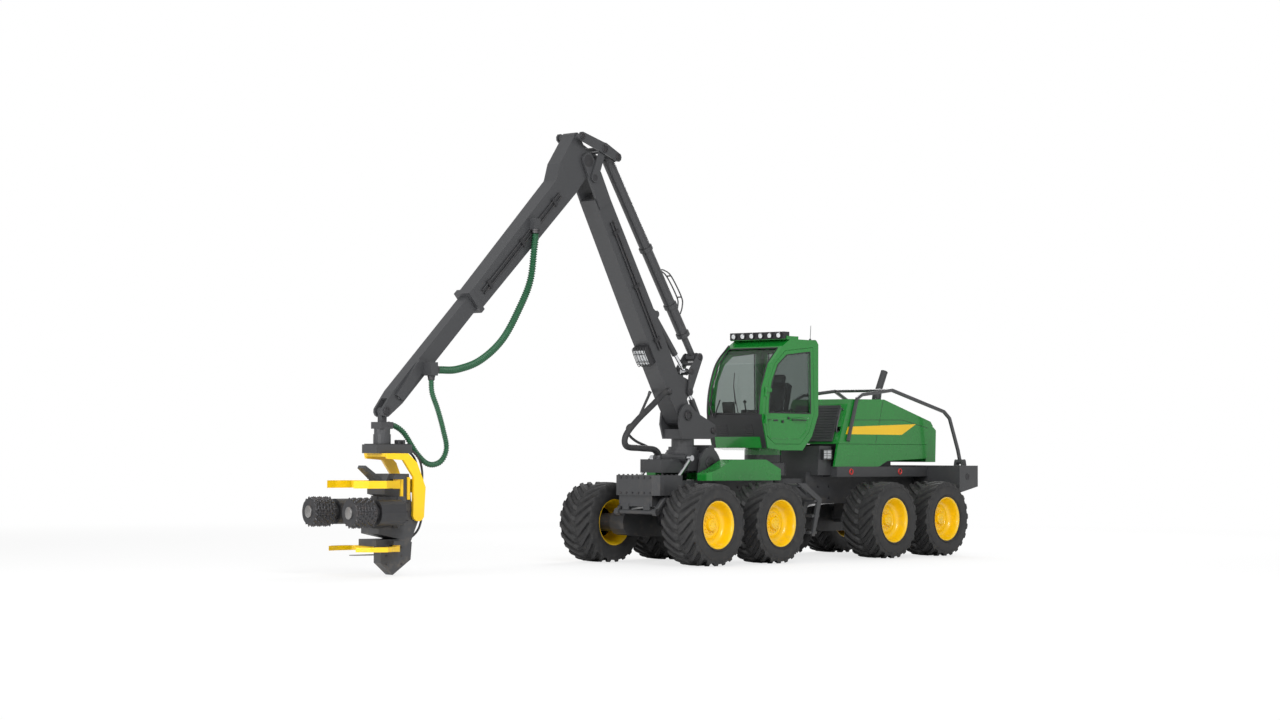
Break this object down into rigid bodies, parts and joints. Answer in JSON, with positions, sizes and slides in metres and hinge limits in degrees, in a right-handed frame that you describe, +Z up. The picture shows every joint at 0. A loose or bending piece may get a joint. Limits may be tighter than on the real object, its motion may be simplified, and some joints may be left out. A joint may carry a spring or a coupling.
{
  "type": "forestry harvester",
  "caption": "Eight-wheeled forestry harvester with a steered centre joint, turning cab, leaning crane on a linked boom, telescopic stick and a hanging head that grips, feeds and saws stems.",
  "frame": {"origin": "on the ground under the middle of the machine's length and width, with the hoses left out", "axes": "+X forward, out along the crane; +Y to the machine's left, the door's side; +Z up"},
  "size_m": [14.4326, 2.96, 6.9239],
  "materials": {
    "bare_steel": "worn bare steel",
    "black_plastic": "black enamel and plastic",
    "black_rubber": "black hydraulic hose",
    "charcoal_paint": "satin charcoal grey paint",
    "chrome": "chromed rod",
    "green_paint": "gloss green paint",
    "seat_cloth": "dark seat cloth",
    "tyre_rubber": "black tyre rubber with cross bars",
    "window_glass": "tinted safety glass",
    "yellow_paint": "gloss yellow paint"
  },
  "bodies": {
    "front_leading_wheel_left": {"front_leading_wheel_left": "tyre_rubber"},
    "front_leading_wheel_right": {"front_leading_wheel_right": "tyre_rubber"},
    "front_trailing_wheel_left": {"front_trailing_wheel_left": "tyre_rubber"},
    "front_trailing_wheel_right": {"front_trailing_wheel_right": "tyre_rubber"},
    "rear_leading_wheel_left": {"rear_leading_wheel_left": "tyre_rubber"},
    "rear_leading_wheel_right": {"rear_leading_wheel_right": "tyre_rubber"},
    "rear_trailing_wheel_left": {"rear_trailing_wheel_left": "tyre_rubber"},
    "rear_trailing_wheel_right": {"rear_trailing_wheel_right": "tyre_rubber"},
    "front_frame": {"front_frame": "charcoal_paint", "front_deck": "green_paint", "front_bogie_axle": "charcoal_paint", "access_steps": "charcoal_paint"},
    "rear_frame": {"rear_frame": "charcoal_paint", "rear_bogie_axle": "charcoal_paint", "side_panel_left": "green_paint", "side_panel_right": "green_paint", "engine": "charcoal_paint"},
    "hood": {"hood": "green_paint", "guard_rails": "charcoal_paint", "exhaust_stack": "bare_steel"},
    "cab": {"cab_shell": "green_paint", "windscreen": "window_glass", "rear_window": "window_glass", "right_window": "window_glass", "driver_seat": "seat_cloth"},
    "cab_door": {"cab_door": "green_paint", "door_window": "window_glass"},
    "crane_base": {"crane_base": "charcoal_paint", "crane_hose": "black_rubber", "thin_crane_hose": "black_rubber"},
    "tilt_cylinders": {"tilt_cylinders": "charcoal_paint"},
    "tilt_rods": {"tilt_rods": "chrome"},
    "crane_pillar": {"crane_pillar": "charcoal_paint"},
    "main_boom": {"main_boom": "charcoal_paint"},
    "lift_cylinder_barrel": {"lift_cylinder_barrel": "charcoal_paint"},
    "lift_cylinder_rod": {"lift_cylinder_rod": "chrome"},
    "stick": {"stick": "charcoal_paint", "stick_hose": "black_rubber"},
    "elbow_lever": {"elbow_lever": "charcoal_paint"},
    "elbow_plates": {"elbow_plates": "charcoal_paint"},
    "rocker": {"rocker": "charcoal_paint"},
    "tube_link": {"tube_link": "charcoal_paint"},
    "stick_cylinder_barrel": {"stick_cylinder_barrel": "charcoal_paint"},
    "stick_cylinder_rod": {"stick_cylinder_rod": "chrome"},
    "stick_extension": {"stick_extension": "charcoal_paint", "tip_hose": "black_rubber"},
    "tip_link": {"tip_link": "charcoal_paint"},
    "rotator": {"rotator": "charcoal_paint", "tilt_frame": "yellow_paint"},
    "head": {"head_body": "charcoal_paint"},
    "feed_arm_left": {"feed_arm_left": "black_plastic"},
    "feed_roller_left": {"feed_roller_left": "bare_steel"},
    "feed_arm_right": {"feed_arm_right": "black_plastic"},
    "feed_roller_right": {"feed_roller_right": "bare_steel"},
    "upper_knife_left": {"upper_knife_left": "yellow_paint"},
    "upper_knife_right": {"upper_knife_right": "yellow_paint"},
    "lower_knife_left": {"lower_knife_left": "yellow_paint"},
    "lower_knife_right": {"lower_knife_right": "yellow_paint"},
    "saw_bar": {"saw_bar": "bare_steel"}
  },
  "joints": [
    {"name": "front_leading_left_roll", "type": "hinge", "parent": "front_frame", "child": "front_leading_wheel_left", "pos_m": [0.2187, 1.125, 0.67], "axis": [0, 1, 0], "continuous": true},
    {"name": "front_leading_right_roll", "type": "hinge", "parent": "front_frame", "child": "front_leading_wheel_right", "pos_m": [0.2187, -1.125, 0.67], "axis": [0, 1, 0], "continuous": true},
    {"name": "front_trailing_left_roll", "type": "hinge", "parent": "front_frame", "child": "front_trailing_wheel_left", "pos_m": [-1.3913, 1.125, 0.67], "axis": [0, 1, 0], "continuous": true},
    {"name": "front_trailing_right_roll", "type": "hinge", "parent": "front_frame", "child": "front_trailing_wheel_right", "pos_m": [-1.3913, -1.125, 0.67], "axis": [0, 1, 0], "continuous": true},
    {"name": "rear_leading_left_roll", "type": "hinge", "parent": "rear_frame", "child": "rear_leading_wheel_left", "pos_m": [-4.5463, 1.125, 0.67], "axis": [0, 1, 0], "continuous": true},
    {"name": "rear_leading_right_roll", "type": "hinge", "parent": "rear_frame", "child": "rear_leading_wheel_right", "pos_m": [-4.5463, -1.125, 0.67], "axis": [0, 1, 0], "continuous": true},
    {"name": "rear_trailing_left_roll", "type": "hinge", "parent": "rear_frame", "child": "rear_trailing_wheel_left", "pos_m": [-6.1263, 1.125, 0.67], "axis": [0, 1, 0], "continuous": true},
    {"name": "rear_trailing_right_roll", "type": "hinge", "parent": "rear_frame", "child": "rear_trailing_wheel_right", "pos_m": [-6.1263, -1.125, 0.67], "axis": [0, 1, 0], "continuous": true},
    {"name": "frame_steer", "type": "hinge", "parent": "front_frame", "child": "rear_frame", "pos_m": [-2.9863, 0, 1.15], "axis": [0, 0, 1], "range_deg": [-40, 40]},
    {"name": "hood_tilt", "type": "hinge", "parent": "rear_frame", "child": "hood", "pos_m": [-7.1263, 0, 1.69], "axis": [0, -1, 0], "range_deg": [0, 55]},
    {"name": "cab_rotate", "type": "hinge", "parent": "front_frame", "child": "cab", "pos_m": [-2.6863, 0, 1.8], "axis": [0, 0, 1], "range_deg": [-80, 80]},
    {"name": "door_swing", "type": "hinge", "parent": "cab", "child": "cab_door", "pos_m": [-1.9713, 0.65, 2.6], "axis": [0, 0, -1], "range_deg": [0, 95]},
    {"name": "crane_tilt", "type": "hinge", "parent": "front_frame", "child": "crane_base", "pos_m": [-0.7863, 0, 1.66], "axis": [0, -1, 0], "range_deg": [-2, 15]},
    {"name": "tilt_cylinder_swing", "type": "hinge", "parent": "front_frame", "child": "tilt_cylinders", "pos_m": [0.5737, 0, 0.86], "axis": [0, -1, 0], "range_deg": [-3.34, 0.88]},
    {"name": "tilt_cylinder_stroke", "type": "slide", "parent": "tilt_cylinders", "child": "tilt_rods", "axis": [-0.6989, 0, 0.7152], "range_m": [-0.0175, 0.1182]},
    {"name": "crane_slew", "type": "hinge", "parent": "crane_base", "child": "crane_pillar", "pos_m": [-0.5663, 0, 1.9], "axis": [0, 0, 1], "range_deg": [-110, 110]},
    {"name": "boom_lift", "type": "hinge", "parent": "crane_pillar", "child": "main_boom", "pos_m": [-0.4363, 0, 2.45], "axis": [0, -1, 0], "range_deg": [-40, 24]},
    {"name": "lift_cylinder_swing", "type": "hinge", "parent": "crane_pillar", "child": "lift_cylinder_barrel", "pos_m": [-1.0863, 0, 2.2], "axis": [0, -1, 0], "range_deg": [-16.63, 10.18]},
    {"name": "lift_cylinder_stroke", "type": "slide", "parent": "lift_cylinder_barrel", "child": "lift_cylinder_rod", "axis": [0.5046, 0, 0.8634], "range_m": [-0.1654, 0.2744]},
    {"name": "stick_fold", "type": "hinge", "parent": "main_boom", "child": "stick", "pos_m": [1.9637, 0, 6.48], "axis": [0, 1, 0], "range_deg": [-80, 34]},
    {"name": "lever_swing", "type": "hinge", "parent": "main_boom", "child": "elbow_lever", "pos_m": [1.8437, 0, 6.22], "axis": [0, 1, 0], "range_deg": [-54.5, 23.45]},
    {"name": "plates_swing", "type": "hinge", "parent": "elbow_lever", "child": "elbow_plates", "pos_m": [1.6537, 0, 6.7], "axis": [0, 1, 0], "range_deg": [-4.71, 10.41]},
    {"name": "rocker_swing", "type": "hinge", "parent": "main_boom", "child": "rocker", "pos_m": [-0.5663, 0, 2.85], "axis": [0, 1, 0], "range_deg": [-55.81, 24.01]},
    {"name": "tube_swing", "type": "hinge", "parent": "rocker", "child": "tube_link", "pos_m": [-0.8163, 0, 3.43], "axis": [0, 1, 0], "range_deg": [-25.79, 60]},
    {"name": "stick_cylinder_swing", "type": "hinge", "parent": "main_boom", "child": "stick_cylinder_barrel", "pos_m": [0.2037, 0, 4.11], "axis": [0, 1, 0], "range_deg": [-3.08, 6.58]},
    {"name": "stick_cylinder_stroke", "type": "slide", "parent": "stick_cylinder_barrel", "child": "stick_cylinder_rod", "axis": [-0.6568, 0, -0.7541], "range_m": [-0.118, 0.2749]},
    {"name": "stick_extend", "type": "slide", "parent": "stick", "child": "stick_extension", "axis": [-0.7215, 0, 0.6925], "range_m": [-2.4, 0]},
    {"name": "tip_swing", "type": "hinge", "parent": "stick_extension", "child": "tip_link", "pos_m": [6.1937, 0, 2.42], "axis": [0, -1, 0], "range_deg": [-60, 35], "deforming": ["tip_hose"]},
    {"name": "head_turn", "type": "hinge", "parent": "tip_link", "child": "rotator", "pos_m": [6.1937, 0, 2], "axis": [0, 0, 1], "continuous": true},
    {"name": "head_tilt", "type": "hinge", "parent": "rotator", "child": "head", "pos_m": [5.7505, 0.0781, 0.9], "axis": [0.1736, 0.9848, 0], "range_deg": [0, 90]},
    {"name": "feed_arm_left_swing", "type": "hinge", "parent": "head", "child": "feed_arm_left", "pos_m": [6.1276, 0.3163, 0.94], "axis": [0, 0, 1], "range_deg": [-18, 8]},
    {"name": "feed_roller_left_spin", "type": "hinge", "parent": "feed_arm_left", "child": "feed_roller_left", "pos_m": [6.8227, 0.4577, 0.94], "axis": [0.9848, -0.1736, 0], "continuous": true},
    {"name": "feed_arm_right_swing", "type": "hinge", "parent": "head", "child": "feed_arm_right", "pos_m": [6.0234, -0.2746, 0.94], "axis": [0, 0, -1], "range_deg": [-18, 8]},
    {"name": "feed_roller_right_spin", "type": "hinge", "parent": "feed_arm_right", "child": "feed_roller_right", "pos_m": [6.6283, -0.6453, 0.94], "axis": [0.9848, -0.1736, 0], "continuous": true},
    {"name": "upper_knife_left_swing", "type": "hinge", "parent": "head", "child": "upper_knife_left", "pos_m": [6.1769, 0.3076, 1.35], "axis": [0, 0, 1], "range_deg": [-18, 12]},
    {"name": "upper_knife_right_swing", "type": "hinge", "parent": "head", "child": "upper_knife_right", "pos_m": [6.0727, -0.2833, 1.35], "axis": [0, 0, -1], "range_deg": [-18, 12]},
    {"name": "lower_knife_left_swing", "type": "hinge", "parent": "head", "child": "lower_knife_left", "pos_m": [6.1769, 0.3076, 0.41], "axis": [0, 0, 1], "range_deg": [-18, 12]},
    {"name": "lower_knife_right_swing", "type": "hinge", "parent": "head", "child": "lower_knife_right", "pos_m": [6.0727, -0.2833, 0.41], "axis": [0, 0, -1], "range_deg": [-18, 12]},
    {"name": "saw_swing", "type": "hinge", "parent": "head", "child": "saw_bar", "pos_m": [6.0419, -0.0545, 0.36], "axis": [0, 0, -1], "range_deg": [0, 70]}
  ],
  "couplings": [
    {"joint": "tilt_cylinder_swing", "follows": "crane_tilt", "ratio": -0.1896},
    {"joint": "tilt_cylinder_stroke", "follows": "crane_tilt", "m_per_rad": 0.4439},
    {"joint": "lift_cylinder_swing", "follows": "boom_lift", "ratio": 0.4032},
    {"joint": "lift_cylinder_stroke", "follows": "boom_lift", "m_per_rad": -0.3901},
    {"joint": "lever_swing", "follows": "stick_fold", "ratio": 0.675},
    {"joint": "plates_swing", "follows": "stick_fold", "ratio": -0.1238},
    {"joint": "rocker_swing", "follows": "stick_fold", "ratio": 0.6914},
    {"joint": "tube_swing", "follows": "stick_fold", "ratio": -0.7437},
    {"joint": "stick_cylinder_swing", "follows": "stick_fold", "ratio": -0.0759},
    {"joint": "stick_cylinder_stroke", "follows": "stick_fold", "m_per_rad": -0.1954}
  ]
}
